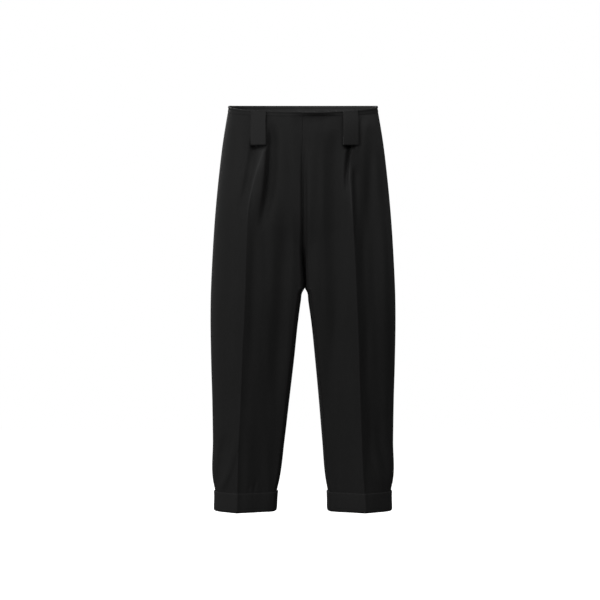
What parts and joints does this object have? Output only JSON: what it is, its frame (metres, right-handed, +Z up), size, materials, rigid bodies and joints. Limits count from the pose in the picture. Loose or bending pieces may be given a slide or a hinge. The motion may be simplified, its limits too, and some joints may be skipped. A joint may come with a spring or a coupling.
{
  "type": "capri pants",
  "caption": "High-waisted tapered capri trousers, filled out and hollow, with a narrow waistband, wide front belt loops over pleats, pressed creases and turned-up hems.",
  "frame": {"origin": "middle of the waist opening, level with the top of the side seams", "axes": "+Z up, +X to the wearer's left, -Y out of the front"},
  "size_m": [0.3504, 0.2473, 0.7783],
  "materials": {
    "suiting": "matt black crepe suiting with a faint sheen"
  },
  "bodies": {
    "root": {"front_right": "suiting", "front_left": "suiting", "back_right": "suiting", "back_left": "suiting", "waistband_front": "suiting", "waistband_back": "suiting", "belt_loop_right": "suiting", "belt_loop_left": "suiting", "turn_up_right": "suiting", "turn_up_left": "suiting"}
  },
  "joints": []
}
